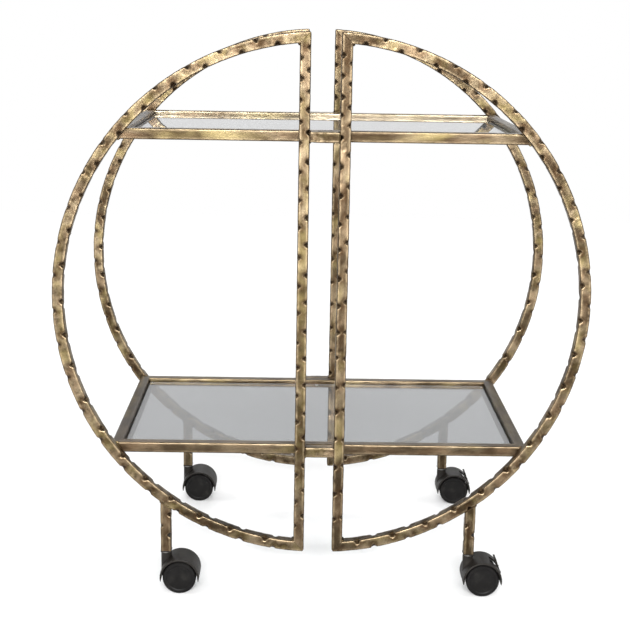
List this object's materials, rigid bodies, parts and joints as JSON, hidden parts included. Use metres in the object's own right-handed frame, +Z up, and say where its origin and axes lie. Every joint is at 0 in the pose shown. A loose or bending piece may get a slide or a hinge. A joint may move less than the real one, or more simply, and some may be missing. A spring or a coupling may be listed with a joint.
{
  "type": "bar cart",
  "caption": "Round-framed bar cart of hammered antique-brass square tube, with glass shelves and swivel casters, some with brake levers.",
  "frame": {"origin": "on the floor under the middle of the cart, midway between the four legs", "axes": "+Z up; +X towards the pair of casters with brake levers, along the shelves' long side; +Y from the front round frames to the back ones"},
  "size_m": [0.7798, 0.427, 0.8327],
  "materials": {
    "antique_brass": "hammered, satin, with brown patina in the dents",
    "antique_brass_smooth": "smooth, satin, with a brown patina",
    "glass": "clear, faint grey tint, ground and polished edges",
    "clear_pad": "clear soft pad",
    "black_plastic": "moulded, fine grain",
    "wheel_plastic": "moulded, smooth satin",
    "steel": "zinc plated"
  },
  "bodies": {
    "cart_frame": {"upright_front_left": "antique_brass", "arc_front_left": "antique_brass", "leg_front_left": "antique_brass", "upright_front_right": "antique_brass", "arc_front_right": "antique_brass", "leg_front_right": "antique_brass", "tie_bar_front_top": "antique_brass", "tie_bar_front_bottom": "antique_brass", "upright_back_left": "antique_brass", "arc_back_left": "antique_brass", "leg_back_left": "antique_brass", "upright_back_right": "antique_brass", "arc_back_right": "antique_brass", "leg_back_right": "antique_brass", "tie_bar_back_top": "antique_brass", "tie_bar_back_bottom": "antique_brass", "top_shelf_rail_front": "antique_brass_smooth", "top_shelf_rail_back": "antique_brass_smooth", "top_shelf_rail_left": "antique_brass_smooth", "top_shelf_rail_right": "antique_brass_smooth", "top_shelf_ledge": "antique_brass_smooth", "top_glass": "glass", "top_glass_pads": "clear_pad", "bottom_shelf_rail_front": "antique_brass_smooth", "bottom_shelf_rail_back": "antique_brass_smooth", "bottom_shelf_rail_left": "antique_brass_smooth", "bottom_shelf_rail_right": "antique_brass_smooth", "bottom_shelf_ledge": "antique_brass_smooth", "bottom_glass": "glass", "bottom_glass_pads": "clear_pad", "leg_plug_front_left": "black_plastic", "stem_front_left": "steel", "leg_plug_front_right": "black_plastic", "stem_front_right": "steel", "leg_plug_back_left": "black_plastic", "stem_back_left": "steel", "leg_plug_back_right": "black_plastic", "stem_back_right": "steel", "grip_rings": "steel"},
    "swivel_front_left": {"caster_hood_front_left": "black_plastic", "axle_front_left": "steel"},
    "wheel_front_left_outer": {"wheel_front_left_outer": "wheel_plastic"},
    "wheel_front_left_inner": {"wheel_front_left_inner": "wheel_plastic"},
    "swivel_front_right": {"caster_hood_front_right": "black_plastic", "axle_front_right": "steel", "lever_pin_front_right": "steel"},
    "wheel_front_right_outer": {"wheel_front_right_outer": "wheel_plastic"},
    "wheel_front_right_inner": {"wheel_front_right_inner": "wheel_plastic"},
    "brake_front_right": {"brake_lever_front_right": "black_plastic"},
    "swivel_back_left": {"caster_hood_back_left": "black_plastic", "axle_back_left": "steel"},
    "wheel_back_left_outer": {"wheel_back_left_outer": "wheel_plastic"},
    "wheel_back_left_inner": {"wheel_back_left_inner": "wheel_plastic"},
    "swivel_back_right": {"caster_hood_back_right": "black_plastic", "axle_back_right": "steel", "lever_pin_back_right": "steel"},
    "wheel_back_right_outer": {"wheel_back_right_outer": "wheel_plastic"},
    "wheel_back_right_inner": {"wheel_back_right_inner": "wheel_plastic"},
    "brake_back_right": {"brake_lever_back_right": "black_plastic"}
  },
  "joints": [
    {"name": "swivel_front_left_turn", "type": "hinge", "parent": "cart_frame", "child": "swivel_front_left", "pos_m": [-0.229, -0.19, 0.045], "axis": [0, 0, 1], "continuous": true},
    {"name": "wheel_front_left_outer_spin", "type": "hinge", "parent": "swivel_front_left", "child": "wheel_front_left_outer", "pos_m": [-0.208, -0.19, 0.025], "axis": [0, 1, 0], "continuous": true},
    {"name": "wheel_front_left_inner_spin", "type": "hinge", "parent": "swivel_front_left", "child": "wheel_front_left_inner", "pos_m": [-0.208, -0.19, 0.025], "axis": [0, 1, 0], "continuous": true},
    {"name": "swivel_front_right_turn", "type": "hinge", "parent": "cart_frame", "child": "swivel_front_right", "pos_m": [0.229, -0.19, 0.045], "axis": [0, 0, 1], "continuous": true},
    {"name": "wheel_front_right_outer_spin", "type": "hinge", "parent": "swivel_front_right", "child": "wheel_front_right_outer", "pos_m": [0.25, -0.19, 0.025], "axis": [0, 1, 0], "continuous": true},
    {"name": "wheel_front_right_inner_spin", "type": "hinge", "parent": "swivel_front_right", "child": "wheel_front_right_inner", "pos_m": [0.25, -0.19, 0.025], "axis": [0, 1, 0], "continuous": true},
    {"name": "brake_front_right_press", "type": "hinge", "parent": "swivel_front_right", "child": "brake_front_right", "pos_m": [0.2762, -0.19, 0.0356], "axis": [0, -1, 0], "range_deg": [0, 15]},
    {"name": "swivel_back_left_turn", "type": "hinge", "parent": "cart_frame", "child": "swivel_back_left", "pos_m": [-0.229, 0.19, 0.045], "axis": [0, 0, 1], "continuous": true},
    {"name": "wheel_back_left_outer_spin", "type": "hinge", "parent": "swivel_back_left", "child": "wheel_back_left_outer", "pos_m": [-0.208, 0.19, 0.025], "axis": [0, 1, 0], "continuous": true},
    {"name": "wheel_back_left_inner_spin", "type": "hinge", "parent": "swivel_back_left", "child": "wheel_back_left_inner", "pos_m": [-0.208, 0.19, 0.025], "axis": [0, 1, 0], "continuous": true},
    {"name": "swivel_back_right_turn", "type": "hinge", "parent": "cart_frame", "child": "swivel_back_right", "pos_m": [0.229, 0.19, 0.045], "axis": [0, 0, 1], "continuous": true},
    {"name": "wheel_back_right_outer_spin", "type": "hinge", "parent": "swivel_back_right", "child": "wheel_back_right_outer", "pos_m": [0.25, 0.19, 0.025], "axis": [0, 1, 0], "continuous": true},
    {"name": "wheel_back_right_inner_spin", "type": "hinge", "parent": "swivel_back_right", "child": "wheel_back_right_inner", "pos_m": [0.25, 0.19, 0.025], "axis": [0, 1, 0], "continuous": true},
    {"name": "brake_back_right_press", "type": "hinge", "parent": "swivel_back_right", "child": "brake_back_right", "pos_m": [0.2762, 0.19, 0.0356], "axis": [0, -1, 0], "range_deg": [0, 15]}
  ]
}
